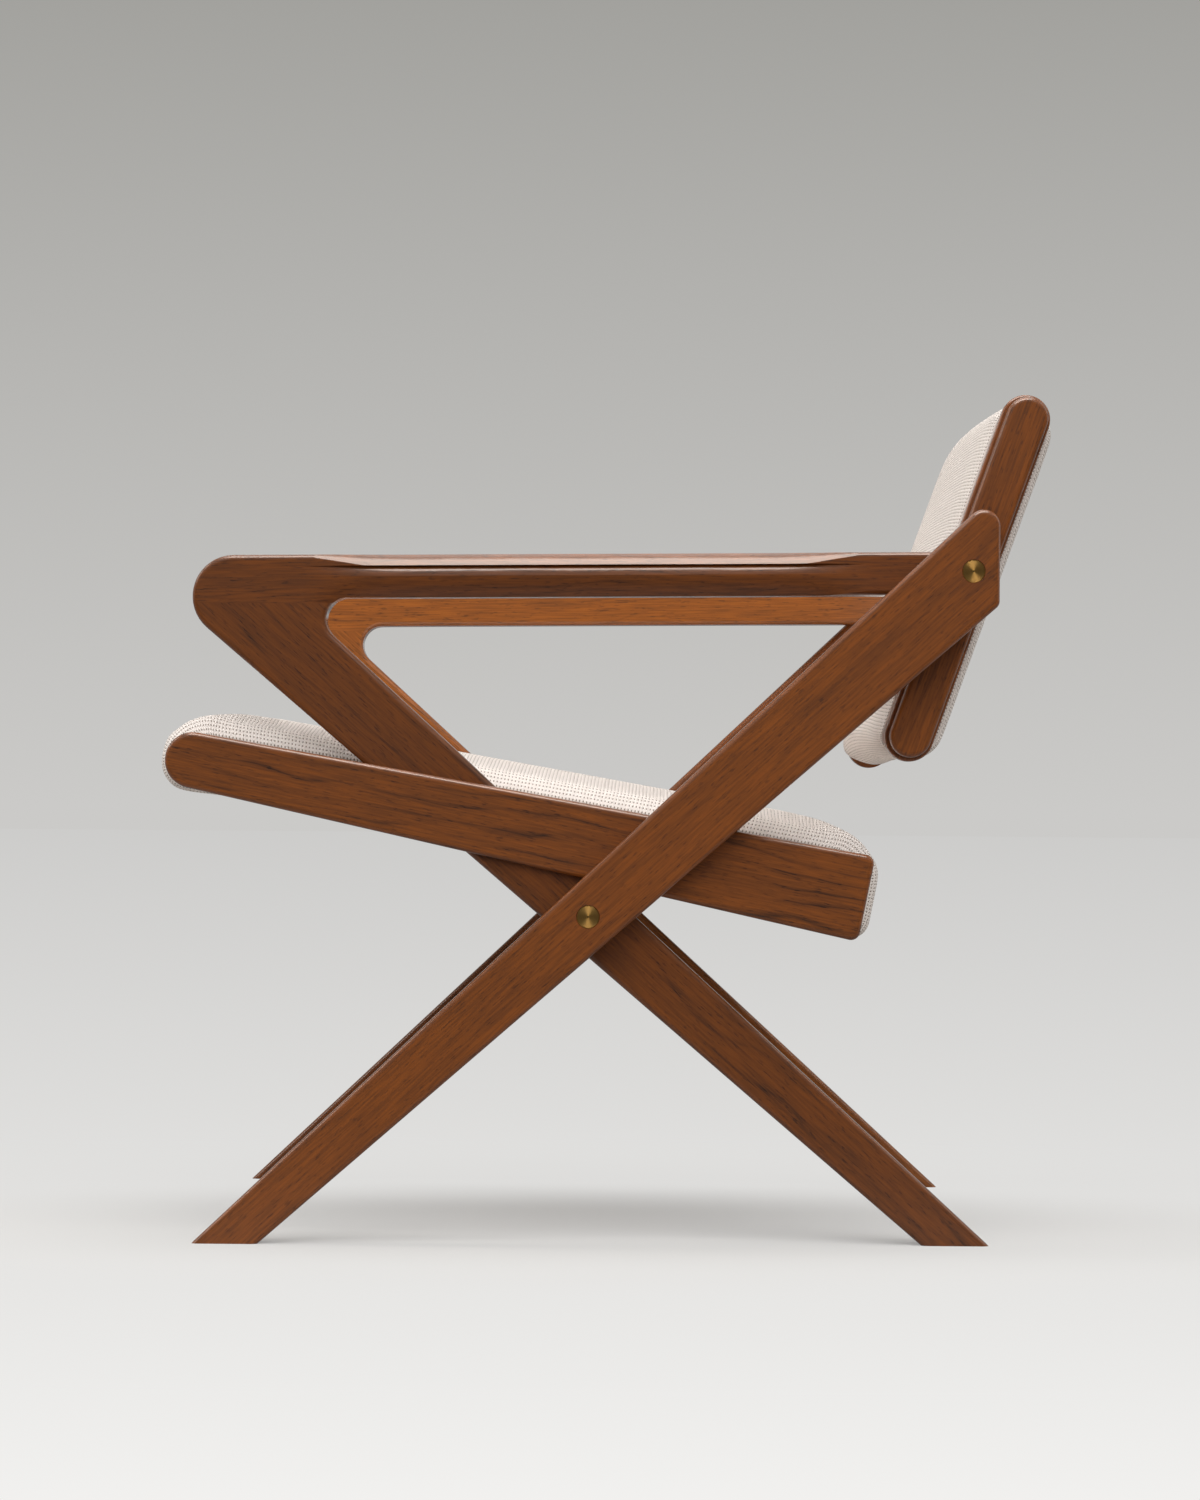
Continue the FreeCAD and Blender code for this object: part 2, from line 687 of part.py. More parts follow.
# Named pieces
for sign, side in (left, right):
    for name, shape in (
        ("main_leg", main_leg),
        ("arm_leg", arm_leg),
        ("armrest", armrest),
        ("seat_rail", seat_rail),
        ("crossing_bolt", crossing_bolt),
        ("pivot_bolt", pivot_bolt),
        ("back_plate", back_plate),
        ("back_end", back_end),
        ("seat_side_member", seat_side_member),
    ):
        pieces[side + "_" + name] = shape if sign > 0 else mirrored(shape)


def both_sides(shapes):
    return Part.makeCompound(shapes + [mirrored(shape) for shape in shapes])


pieces["cross_stretcher"] = stretcher
pieces["stretcher_inserts"] = both_sides([insert])
pieces["pivot_bushes"] = both_sides([bush])
pieces["pivot_washers"] = both_sides([washer])
pieces["arm_dowels"] = both_sides(
    [Part.makeCylinder(arm_dowel_radius, 2 * arm_dowel_half_length, start) for start in arm_dowels]
)
pieces["arm_screws"] = both_sides(
    [screw(x_in + plug_depth, x_out - screw_tip_cover, centre) for centre in arm_screws]
)
pieces["arm_plugs"] = both_sides(
    [rod(x_in, x_in + plug_depth, centre, screw_head_radius) for centre in arm_screws]
)
pieces["rail_screws"] = both_sides(
    [screw(x_in, x_out - screw_tip_cover, centre) for centre in main_rail_screws]
    + [screw(x_in, x_rail - screw_tip_cover, centre) for centre in arm_rail_screws]
)
pieces["seat_front_member"] = seat_front_member
pieces["seat_rear_member"] = seat_rear_member
pieces["seat_frame_dowels"] = Part.makeCompound(seat_dowels)
pieces["seat_screws"] = Part.makeCompound(seat_screws)
pieces["seat_webbing"] = Part.makeCompound(seat_straps)
pieces["seat_foam"] = seat_foam
pieces["seat_cover"] = seat_cover
pieces["seat_underlining"] = underlining
pieces["back_rail_dowels"] = Part.makeCompound(back_rail_dowels)
pieces["back_plate_dowels"] = both_sides(plate_dowels)
pieces["back_webbing"] = Part.makeCompound(back_straps)
pieces["back_foam"] = back_foam
pieces["back_cover"] = back_cover

# The origin lies on the floor, under the middle of the finished chair
whole = Part.makeCompound(list(pieces.values())).optimalBoundingBox(False)
to_middle = V(0, -(whole.YMin + whole.YMax) / 2, 0)

os.makedirs("parts", exist_ok=True)
for name, shape in pieces.items():
    shape.translate(to_middle)
    shape.exportStep("parts/" + name + ".step")
    print(name, "solids", len(shape.Solids), "valid", shape.isValid(), "volume", round(shape.Volume))

print("depth", round(whole.YLength, 2), "height", round(whole.ZMax, 2), "moved", round(to_middle.y, 4))
print("back pivot", pivot + to_middle)
print("foot soles", front_foot + to_middle, rear_foot + to_middle)
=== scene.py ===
import math

import bpy
import numpy as np
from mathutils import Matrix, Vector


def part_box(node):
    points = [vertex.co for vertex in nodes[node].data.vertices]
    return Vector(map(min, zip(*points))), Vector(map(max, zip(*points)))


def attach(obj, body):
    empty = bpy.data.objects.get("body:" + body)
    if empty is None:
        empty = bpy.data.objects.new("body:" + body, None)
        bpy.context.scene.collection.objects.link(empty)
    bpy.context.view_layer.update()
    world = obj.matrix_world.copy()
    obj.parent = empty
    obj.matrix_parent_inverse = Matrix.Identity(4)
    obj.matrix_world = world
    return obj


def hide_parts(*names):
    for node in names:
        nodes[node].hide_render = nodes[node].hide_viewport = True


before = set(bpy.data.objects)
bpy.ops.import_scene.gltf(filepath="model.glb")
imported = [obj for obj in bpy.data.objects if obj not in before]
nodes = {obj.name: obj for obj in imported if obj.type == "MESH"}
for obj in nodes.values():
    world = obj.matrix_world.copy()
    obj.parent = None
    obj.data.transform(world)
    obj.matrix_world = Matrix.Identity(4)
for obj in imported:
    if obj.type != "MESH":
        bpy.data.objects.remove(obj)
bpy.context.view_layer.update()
scene = bpy.context.scene


# Main legs
# Two straight teak boards 28 mm thick that run from the front foot up to the back pivot.
# They are planed, rounded at the arrises and oiled, so the grain keeps a soft sheen.
def linear(code):
    """Turns an sRGB hex colour into linear red, green, blue and a full alpha."""
    channels = np.array([int(code[i:i + 2], 16) for i in (0, 2, 4)]) / 255
    return (*np.where(channels <= 0.04045, channels / 12.92, ((channels + 0.055) / 1.055) ** 2.4), 1.0)


def add(tree, kind, inputs, **settings):
    """Adds a shader node with its settings, and fills its inputs with values or other nodes' outputs."""
    made = tree.nodes.new("ShaderNode" + kind)
    for name, value in settings.items():
        setattr(made, name, value)
    for name, value in inputs.items():
        if isinstance(value, bpy.types.NodeSocket):
            tree.links.new(value, made.inputs[name])
        else:
            made.inputs[name].default_value = value
    return made


def new_material(name):
    """Makes an empty material and returns it with its node tree and its shader."""
    material = bpy.data.materials.new(name)
    material.use_nodes = True
    return material, material.node_tree, material.node_tree.nodes["Principled BSDF"]


def dress(material, *names):
    """Puts a material into every slot of the named CAD pieces."""
    for name in names:
        for slot in nodes[name].material_slots:
            slot.material = material


def teak(name, grain, heart, ring_pitch, figure, shift, light="944F14", dark="331803"):
    """Oiled teak sawn along one board.
    The growth rings lie round a heart beside the board, and the distance to it, bent by a slow wander, is
    cut into rings with a thin dark line each. Fibres and pores are noise drawn out along the grain. Real
    ones are about 0.3 mm wide, and they are drawn at 1.5 mm so that they show. The oil lies on the wood as
    a thin satin coat."""
    material, tree, shader = new_material(name)
    place = add(tree, "TexCoord", {}).outputs["Object"]
    board = add(tree, "Mapping", {
        "Vector": place, "Rotation": (-math.radians(grain), 0, 0), "Location": (0, shift, 0.37 * shift),
    }).outputs[0]

    def drawn(across, along, detail):
        stretched = add(tree, "Mapping", {"Vector": board, "Scale": (1 / across, 1 / along, 1 / across)})
        noise = add(tree, "TexNoise", {"Vector": stretched.outputs[0], "Scale": 1.0, "Detail": detail})
        return noise.outputs["Fac"]

    def band(value, low, high, lowest, highest):
        eased = add(tree, "MapRange", {0: value, 1: low, 2: high, 3: lowest, 4: highest},
                    interpolation_type="SMOOTHSTEP")
        return eased.outputs[0]

    log = add(tree, "Mapping", {
        "Vector": board, "Location": (heart[0], 0, heart[1] - 0.37 * shift), "Rotation": (0, 0, heart[2]),
    })
    flat = add(tree, "VectorMath", {0: log.outputs[0], 1: (1, 0, 1)}, operation="MULTIPLY")
    radius = add(tree, "VectorMath", {0: flat.outputs[0]}, operation="LENGTH").outputs["Value"]
    wander = drawn(across=0.06, along=0.22, detail=2)
    wander_reach = 0.04
    bent = add(tree, "Math", {0: wander, 1: wander_reach, 2: radius}, operation="MULTIPLY_ADD")
    rings = add(tree, "Math", {0: bent.outputs[0], 1: 1 / ring_pitch}, operation="MULTIPLY")
    phase = add(tree, "Math", {0: rings.outputs[0]}, operation="FRACT").outputs[0]
    late_wood = add(tree, "ValToRGB", {"Fac": phase})
    late_wood.color_ramp.elements[0].color = (1, 1, 1, 1)
    late_wood.color_ramp.elements[1].color = (1, 1, 1, 1)
    for position, level in ((0.07, 0.55), (0.20, 0.12), (0.60, 0.0), (0.92, 0.3)):
        late_wood.color_ramp.elements.new(position).color = (level, level, level, 1)
    fading = band(drawn(across=0.012, along=0.12, detail=2), 0.38, 0.62, 0.1, 1.0)
    ring_tone = add(tree, "Math", {0: late_wood.outputs[0], 1: fading}, operation="MULTIPLY").outputs[0]

    fibres = band(drawn(across=0.0015, along=0.035, detail=3), 0.25, 0.75, -0.2, 0.2)
    pores = band(drawn(across=0.0013, along=0.009, detail=1), 0.60, 0.72, 0.0, 1.0)
    broad = band(drawn(across=0.022, along=0.3, detail=2), 0.3, 0.7, -0.07, 0.07)
    plain_tone = 0.33
    pore_tone = 0.3
    tone = add(tree, "Math", {0: ring_tone, 1: figure, 2: plain_tone}, operation="MULTIPLY_ADD").outputs[0]
    tone = add(tree, "Math", {0: tone, 1: fibres}, operation="ADD").outputs[0]
    tone = add(tree, "Math", {0: tone, 1: broad}, operation="ADD").outputs[0]
    pitted = add(tree, "Math", {0: pores, 1: pore_tone, 2: tone}, operation="MULTIPLY_ADD", use_clamp=True)
    tone = pitted.outputs[0]
    colour = add(tree, "Mix", {0: tone, 6: linear(light), 7: linear(dark)}, data_type="RGBA")
    height = add(tree, "Math", {0: pores, 1: -0.5, 2: fibres}, operation="MULTIPLY_ADD")
    bump = add(tree, "Bump", {"Height": height.outputs[0], "Strength": 0.35, "Distance": 0.0002})
    rough = band(tone, 0.1, 0.9, 0.45, 0.6)
    tree.links.new(colour.outputs[2], shader.inputs["Base Color"])
    tree.links.new(rough, shader.inputs["Roughness"])
    tree.links.new(bump.outputs[0], shader.inputs["Normal"])
    shader.inputs["Specular IOR Level"].default_value = 0.25
    shader.inputs["Coat Weight"].default_value = 1.0
    shader.inputs["Coat Roughness"].default_value = 0.2
    return material


main_leg_slope = 42.31
dress(teak("teak_main_leg_left", main_leg_slope, heart=(0.09, -0.02, 0.02), ring_pitch=0.0042,
           figure=0.08, shift=0.0), "left_main_leg")
dress(teak("teak_main_leg_right", main_leg_slope, heart=(-0.08, 0.03, 0.03), ring_pitch=0.0042,
           figure=0.08, shift=1.3), "right_main_leg")


# Arm legs and armrests
# Each arm leg is a teak board 34 mm thick that rises to the front of the chair, where the level armrest is
# glued on. The armrest is shaped from its own thicker piece, so its grain runs level.
arm_leg_slope = 138.56
armrest_slope = 0.7
# The left arm leg and armrest are given a darker light tone than the other teak boards, as painted shade on
# the near arm. The right ones are given a lighter tone, as painted light where the far arm's inner faces
# catch more light.
dress(teak("teak_arm_leg_left", arm_leg_slope, heart=(0.07, 0.03, 0.03), ring_pitch=0.009,
           figure=0.3, shift=2.1, light="834510"), "left_arm_leg")
dress(teak("teak_arm_leg_right", arm_leg_slope, heart=(-0.07, 0.02, 0.02), ring_pitch=0.009,
           figure=0.2, shift=3.4, light="AC6019"), "right_arm_leg")
dress(teak("teak_armrest_left", armrest_slope, heart=(0.05, 0.04, 0.02), ring_pitch=0.006,
           figure=0.3, shift=4.2, light="854610"), "left_armrest")
dress(teak("teak_armrest_right", armrest_slope, heart=(-0.05, 0.04, 0.02), ring_pitch=0.006,
           figure=0.2, shift=5.6, light="AC6019"), "right_armrest")


# Seat rails
# A straight teak rail on each side crosses both legs and carries the seat. Bold dark streaks run along it.
rail_slope = -11.2
dress(teak("teak_seat_rail_left", rail_slope, heart=(0.06, 0.06, 0.015), ring_pitch=0.011,
           figure=0.5, shift=6.3), "left_seat_rail")
dress(teak("teak_seat_rail_right", rail_slope, heart=(-0.06, 0.05, 0.015), ring_pitch=0.011,
           figure=0.5, shift=7.7), "right_seat_rail")


# Cross stretcher
# A round teak bar between the two leg crossings. A threaded steel insert sits in each end for the bolt.
def stretcher_wood():
    """Teak turned to a round bar, with its grain along the bar in streaks about 5 mm wide."""
    material, tree, shader = new_material("teak_cross_stretcher")
    place = add(tree, "TexCoord", {}).outputs["Object"]
    stretched = add(tree, "Mapping", {"Vector": place, "Scale": (4, 180, 180)})
    grain = add(tree, "TexNoise", {"Vector": stretched.outputs[0], "Scale": 1.0, "Detail": 4.0})
    colour = add(tree, "Mix", {
        0: grain.outputs["Fac"], 6: linear("A9683A"), 7: linear("4A2410"),
    }, data_type="RGBA")
    tree.links.new(colour.outputs[2], shader.inputs["Base Color"])
    shader.inputs["Roughness"].default_value = 0.42
    return material


def plated_steel():
    """Zinc-plated steel with a faint bloom in patches of about 2.5 mm."""
    material, tree, shader = new_material("zinc_plated_steel")
    place = add(tree, "TexCoord", {}).outputs["Object"]
    bloom = add(tree, "TexNoise", {"Vector": place, "Scale": 400.0, "Detail": 2.0})
    colour = add(tree, "Mix", {
        0: bloom.outputs["Fac"], 6: linear("8E9093"), 7: linear("B4B6B8"),
    }, data_type="RGBA")
    tree.links.new(colour.outputs[2], shader.inputs["Base Color"])
    shader.inputs["Metallic"].default_value = 1.0
    shader.inputs["Roughness"].default_value = 0.35
    return material


dress(stretcher_wood(), "cross_stretcher")
steel = plated_steel()
dress(steel, "stretcher_inserts")


# Crossing bolts and back pivot
# Turned brass bolts whose flat round heads show on the outside of the main legs. The lathe left fine rings
# that catch the light in a bow-tie, and a small centre mark. Bushes and fibre washers let the back turn.
def turned_brass(name, centre):
    """Brass turned on a lathe about a level axis through the centre.
    The rings are noise of the distance to that axis, 0.4 mm apart, and the sheen is drawn out across
    them."""
    material, tree, shader = new_material(name)
    place = add(tree, "TexCoord", {}).outputs["Object"]
    arm = add(tree, "VectorMath", {0: place, 1: centre}, operation="SUBTRACT")
    flat = add(tree, "VectorMath", {0: arm.outputs[0], 1: (0, 1, 1)}, operation="MULTIPLY")
    radius = add(tree, "VectorMath", {0: flat.outputs[0]}, operation="LENGTH").outputs["Value"]
    turning = add(tree, "TexNoise", {"W": radius, "Scale": 2500.0, "Detail": 3.0}, noise_dimensions="1D")
    tarnish = add(tree, "TexNoise", {"Vector": place, "Scale": 180.0, "Detail": 3.0})
    gold = add(tree, "Mix", {
        0: tarnish.outputs["Fac"], 6: linear("E2B56C"), 7: linear("C89A52"),
    }, data_type="RGBA")
    mark = add(tree, "MapRange", {0: radius, 1: 0.0004, 2: 0.0009, 3: 1.0, 4: 0.0})
    colour = add(tree, "Mix", {
        0: mark.outputs[0], 6: gold.outputs[2], 7: linear("2A1A0C"),
    }, data_type="RGBA")
    bump = add(tree, "Bump", {"Height": turning.outputs["Fac"], "Strength": 0.5, "Distance": 0.00005})
    tree.links.new(colour.outputs[2], shader.inputs["Base Color"])
    tree.links.new(bump.outputs[0], shader.inputs["Normal"])
    tree.links.new(flat.outputs[0], shader.inputs["Tangent"])
    shader.inputs["Metallic"].default_value = 1.0
    shader.inputs["Roughness"].default_value = 0.5
    shader.inputs["Anisotropic"].default_value = 0.85
    return material


def fibre_board():
    """Dark pressed fibre with a speckle of about 1 mm."""
    material, tree, shader = new_material("vulcanised_fibre")
    place = add(tree, "TexCoord", {}).outputs["Object"]
    speckle = add(tree, "TexNoise", {"Vector": place, "Scale": 900.0, "Detail": 2.0})
    colour = add(tree, "Mix", {
        0: speckle.outputs["Fac"], 6: linear("1C120C"), 7: linear("33241A"),
    }, data_type="RGBA")
    tree.links.new(colour.outputs[2], shader.inputs["Base Color"])
    shader.inputs["Roughness"].default_value = 0.8
    return material


def middle(node):
    """The middle of a CAD piece's box."""
    low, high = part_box(node)
    return (low + high) / 2


crossing_brass = turned_brass("brass_crossing_bolt", middle("left_crossing_bolt"))
dress(crossing_brass, "left_crossing_bolt", "right_crossing_bolt")
pivot_brass = turned_brass("brass_pivot", middle("left_pivot_bolt"))
dress(pivot_brass, "left_pivot_bolt", "right_pivot_bolt", "pivot_bushes")
dress(fibre_board(), "pivot_washers")


# Screws, plugs and dowels
# Steel wood screws hold the armrests, the rails and the seat, teak plugs cover the armrest screws, and
# beech dowels line up the glue joints.
def beech():
    """Pale beech with darker flecks along X, about 80 mm long and 5 mm wide."""
    material, tree, shader = new_material("beech")
    place = add(tree, "TexCoord", {}).outputs["Object"]
    stretched = add(tree, "Mapping", {"Vector": place, "Scale": (12, 220, 220)})
    grain = add(tree, "TexNoise", {"Vector": stretched.outputs[0], "Scale": 1.0, "Detail": 3.0})
    colour = add(tree, "Mix", {
        0: grain.outputs["Fac"], 6: linear("DDB98C"), 7: linear("B98A58"),
    }, data_type="RGBA")
    tree.links.new(colour.outputs[2], shader.inputs["Base Color"])
    shader.inputs["Roughness"].default_value = 0.55
    return material


pale_wood = beech()
dress(steel, "arm_screws", "rail_screws", "seat_screws")
dress(teak("teak_plugs", armrest_slope, heart=(0.05, 0.04, 0.02), ring_pitch=0.006,
           figure=0.3, shift=8.4), "arm_plugs")
dress(pale_wood, "arm_dowels", "seat_frame_dowels", "back_rail_dowels", "back_plate_dowels")


# Seat frame
# Four beech members, dowelled at the corners, with woven elastic straps stretched from front to rear and
# foam on top of them.
def woven_strap():
    """Elastic webbing, dark and woven, whose ribs of 1 mm are a wave in X and run along the strap."""
    material, tree, shader = new_material("elastic_webbing")
    place = add(tree, "TexCoord", {}).outputs["Object"]
    ribs = add(tree, "TexWave", {"Vector": place, "Scale": 300.0, "Distortion": 0.3})
    colour = add(tree, "Mix", {
        0: ribs.outputs["Fac"], 6: linear("2B241D"), 7: linear("4A4036"),
    }, data_type="RGBA")
    tree.links.new(colour.outputs[2], shader.inputs["Base Color"])
    shader.inputs["Roughness"].default_value = 0.85
    return material


def cream_foam():
    """Open-cell foam, cream with a mottle of about 1.5 mm."""
    material, tree, shader = new_material("open_cell_foam")
    place = add(tree, "TexCoord", {}).outputs["Object"]
    cells = add(tree, "TexNoise", {"Vector": place, "Scale": 700.0, "Detail": 2.0})
    colour = add(tree, "Mix", {
        0: cells.outputs["Fac"], 6: linear("E6DDBE"), 7: linear("F4EDD6"),
    }, data_type="RGBA")
    tree.links.new(colour.outputs[2], shader.inputs["Base Color"])
    shader.inputs["Roughness"].default_value = 0.95
    return material


strap = woven_strap()
foam = cream_foam()
dress(pale_wood, "left_seat_side_member", "right_seat_side_member", "seat_front_member", "seat_rear_member")
dress(strap, "seat_webbing")
dress(foam, "seat_foam")


# Seat underlining
# A panel of plain cotton stapled under the seat frame, which hides the webbing from below.
def plain_cotton():
    """Cotton in plain weave: two waves crossed at right angles.
    The real thread is 0.5 mm, and it is drawn at 2 mm so that it shows."""
    material, tree, shader = new_material("plain_cotton")
    place = add(tree, "TexCoord", {}).outputs["Object"]
    across = add(tree, "TexWave", {"Vector": place, "Scale": 160.0}, bands_direction="X")
    along = add(tree, "TexWave", {"Vector": place, "Scale": 160.0}, bands_direction="Y")
    weave = add(tree, "Math", {0: across.outputs["Fac"], 1: along.outputs["Fac"]}, operation="MULTIPLY")
    colour = add(tree, "Mix", {
        0: weave.outputs[0], 6: linear("B9AFA2"), 7: linear("D6CDC1"),
    }, data_type="RGBA")
    tree.links.new(colour.outputs[2], shader.inputs["Base Color"])
    shader.inputs["Roughness"].default_value = 0.9
    return material


dress(plain_cotton(), "seat_underlining")


# Seat cushion
# Foam on the seat frame under an off-white cover in a chunky ribbed weave. The cover is drawn tight over
# the front and rear edges and stapled underneath, so the top is gently crowned and the ends are rounded.
def pad_grid(corners, radii, x, inset, side_counts, arc_count):
    """Rings of points round a four-sided outline with round corners, one ring at each place across.
    Each side is moved inwards by its own inset, neighbouring sides are met again, every corner is rounded
    by an arc that touches both sides, and the straight stretches between the arcs are divided evenly.
    Returns rings by points by coordinates, with the first point in the middle of the last side."""
    corners = np.asarray(corners, float)
    run = np.roll(corners, -1, 0) - corners
    run /= np.linalg.norm(run, axis=1)[:, None]
    inward = np.stack([run[:, 1], -run[:, 0]], 1)
    starts = corners[None] + inward[None] * inset[:, :, None]
    before = np.roll(np.arange(4), 1)
    gap = starts - starts[:, before]
    cross = run[before, 0] * run[:, 1] - run[before, 1] * run[:, 0]
    reach = (gap[..., 0] * run[:, 1] - gap[..., 1] * run[:, 0]) / cross
    met = starts[:, before] + run[before] * reach[..., None]
    turn = np.arccos(np.clip((run[before] * run).sum(1), -1, 1))
    radius = np.maximum(np.asarray(radii) - inset.min(1)[:, None] * 0.8, 0.003)
    touch = radius * np.tan(turn / 2)
    centre = met - run[before] * touch[..., None] + inward[before] * radius[..., None]
    swing = turn[None, None] * np.linspace(0, 1, arc_count)[:, None, None]
    arc = (centre[None] - inward[before] * (radius[..., None] * np.cos(swing)[..., None])
           + run[before] * (radius[..., None] * np.sin(swing)[..., None]))
    pieces = []
    for k in range(4):
        pieces.append(arc[:, :, k])
        share = np.linspace(0, 1, side_counts[k] + 2)[1:-1, None, None]
        pieces.append(arc[-1, :, k] * (1 - share) + arc[0, :, (k + 1) % 4] * share)
    ring = np.concatenate(pieces).transpose(1, 0, 2)
    ring = np.roll(ring, side_counts[3] // 2, axis=1)
    points = np.empty(ring.shape[:2] + (3,))
    points[..., 0] = x[:, None]
    points[..., 1:] = ring
    return points


def across_pad(half, draw_in, roll, flat_count):
    """Places across a pad from one end to the other, and how far its outline has drawn in at each.
    The middle is flat, the edge is a quarter of an ellipse that is roll wide and draw_in deep, and three
    smaller rings stand in each end wall."""
    turn = np.radians(np.linspace(0, 90, 7))[1:]
    wall_steps = np.array([0.004, 0.009, 0.014])
    flat = np.linspace(0, half - roll, flat_count)
    place = np.concatenate([flat, half - roll + roll * np.sin(turn), np.full(3, half)])
    inset = np.concatenate([np.zeros(flat_count), draw_in * (1 - np.cos(turn)), draw_in + wall_steps])
    return np.concatenate([-place[:0:-1], place]), np.concatenate([inset[:0:-1], inset])[:, None]


def pad_piece(name, points):
    """Closes the rings into one skin and unrolls it in metres, girth against distance across.
    The slit left at each end is zipped shut with quads between the points that face each other."""
    rings, count = points.shape[:2]
    index = np.arange(rings * count).reshape(rings, count)
    beside = np.roll(index, -1, 1)
    quads = np.stack([index[:-1], beside[:-1], beside[1:], index[1:]], -1).reshape(-1, 4)
    half = np.arange(count // 2 - 1)
    zip_ends = np.stack([half, half + 1, count - 2 - half, count - 1 - half], -1)
    first = index[0][zip_ends]
    last = index[-1][zip_ends][:, ::-1]
    faces = np.concatenate([quads[:, ::-1], first, last])
    mesh = bpy.data.meshes.new(name)
    mesh.from_pydata(points.reshape(-1, 3), [], faces)
    middle_ring = points[rings // 2]
    step = np.linalg.norm(np.diff(middle_ring, axis=0, append=middle_ring[:1]), axis=1)
    girth = np.concatenate([[0], np.cumsum(step)])
    spread = np.linalg.norm(np.diff(points[:, count // 4], axis=0), axis=1)
    across = np.concatenate([[0], np.cumsum(spread)])
    across -= across[rings // 2]
    columns = faces % count
    seam = (columns.max(1) == count - 1) & (columns.min(1) == 0)
    columns = np.where(seam[:, None] & (columns == 0), count, columns)
    layer = mesh.uv_layers.new(name="weave")
    layer.data.foreach_set("uv", np.stack([girth[columns], across[faces // count]], -1).ravel())
    mesh.polygons.foreach_set("use_smooth", np.ones(len(faces), bool))
    piece = bpy.data.objects.new(name, mesh)
    scene.collection.objects.link(piece)
    return piece


def swell(piece, held, pressure, most):
    """Blows the skin up as cloth under a pressure from inside, for twenty frames.
    The points that are stapled down or lie against the wood stay put, and no point travels beyond most."""
    frames = 20
    mesh = piece.data
    start = np.empty(len(mesh.vertices) * 3)
    mesh.vertices.foreach_get("co", start)
    group = piece.vertex_groups.new(name="stapled")
    group.add(np.flatnonzero(held.ravel()).tolist(), 1.0, "REPLACE")
    cloth = piece.modifiers.new("Cloth", "CLOTH")
    cloth.settings.quality = 5
    cloth.settings.tension_stiffness = 15
    cloth.settings.compression_stiffness = 15
    cloth.settings.shear_stiffness = 5
    cloth.settings.bending_stiffness = 0.5
    cloth.settings.use_pressure = True
    cloth.settings.uniform_pressure_force = pressure
    cloth.settings.effector_weights.gravity = 0
    cloth.settings.vertex_group_mass = "stapled"
    cloth.point_cache.frame_start = 1
    cloth.point_cache.frame_end = frames
    for number in range(1, frames + 1):
        scene.frame_set(number)
    shaped = piece.evaluated_get(bpy.context.evaluated_depsgraph_get()).to_mesh()
    moved = np.empty_like(start)
    shaped.vertices.foreach_get("co", moved)
    piece.modifiers.remove(cloth)
    travel = (moved - start).reshape(-1, 3)
    length = np.linalg.norm(travel, axis=1, keepdims=True)
    travel *= np.tanh(length / most) * most / np.maximum(length, 1e-9)
    mesh.vertices.foreach_set("co", start + travel.ravel())
    mesh.update()
    scene.frame_set(1)


def ribbed_weave():
    """Off-white wool in a chunky ribbed weave.
    A cosine along the girth, times a cosine across that is raised by a share, makes crowns of yarn and
    pits in staggered rows, and the pits are painted dark brown as painted shade in the hollows of the
    weave.
    Every second row is stronger, so the ribs still show edge-on. The yarn wavers by noise."""
    rib_pitch = 0.0031
    float_pitch = 0.0052
    raised = 0.7
    sway_reach = (0.0003, 0.0012, 0)
    material, tree, shader = new_material("off_white_wool")
    unrolled = add(tree, "UVMap", {}, uv_map="weave").outputs["UV"]
    waver = add(tree, "TexNoise", {"Vector": unrolled, "Scale": 160.0, "Detail": 2.0})
    sway = add(tree, "VectorMath", {0: waver.outputs["Color"], 1: (0.5, 0.5, 0.5)}, operation="SUBTRACT")
    bent = add(tree, "VectorMath", {
        0: sway.outputs[0], 1: sway_reach, 2: unrolled,
    }, operation="MULTIPLY_ADD")
    axes = add(tree, "SeparateXYZ", {0: bent.outputs[0]})
    girth = add(tree, "Math", {0: axes.outputs[0], 1: 2 * math.pi / rib_pitch}, operation="MULTIPLY")
    across = add(tree, "Math", {0: axes.outputs[1], 1: 2 * math.pi / float_pitch}, operation="MULTIPLY")
    ribs = add(tree, "Math", {0: girth.outputs[0]}, operation="COSINE")
    floats = add(tree, "Math", {0: across.outputs[0]}, operation="COSINE")
    uneven = add(tree, "Math", {0: floats.outputs[0], 1: raised}, operation="ADD")
    crowns = add(tree, "Math", {0: ribs.outputs[0], 1: uneven.outputs[0]}, operation="MULTIPLY").outputs[0]
    # The pits are painted in a dark brown, as painted shade in the hollows between the yarns.
    pits = add(tree, "MapRange", {0: crowns, 1: -0.45, 2: -1.3, 3: 0.0, 4: 1.0},
               interpolation_type="SMOOTHSTEP")
    fluff = add(tree, "TexNoise", {"Vector": unrolled, "Scale": 900.0, "Detail": 3.0})
    yarn = add(tree, "Mix", {
        0: fluff.outputs["Fac"], 6: linear("EADFD7"), 7: linear("F9F2EC"),
    }, data_type="RGBA")
    pit_shade = add(tree, "Math", {0: pits.outputs[0], 1: 0.85}, operation="MULTIPLY")
    colour = add(tree, "Mix", {
        0: pit_shade.outputs[0], 6: yarn.outputs[2], 7: linear("6A5542"),
    }, data_type="RGBA")
    height = add(tree, "Math", {0: fluff.outputs["Fac"], 1: 0.8, 2: crowns}, operation="MULTIPLY_ADD")
    bump = add(tree, "Bump", {"Height": height.outputs[0], "Strength": 0.6, "Distance": 0.0004})
    tree.links.new(colour.outputs[2], shader.inputs["Base Color"])
    tree.links.new(bump.outputs[0], shader.inputs["Normal"])
    shader.inputs["Roughness"].default_value = 0.9
    shader.inputs["Specular IOR Level"].default_value = 0.2
    shader.inputs["Sheen Weight"].default_value = 0.15
    shader.inputs["Sheen Roughness"].default_value = 0.5
    return material


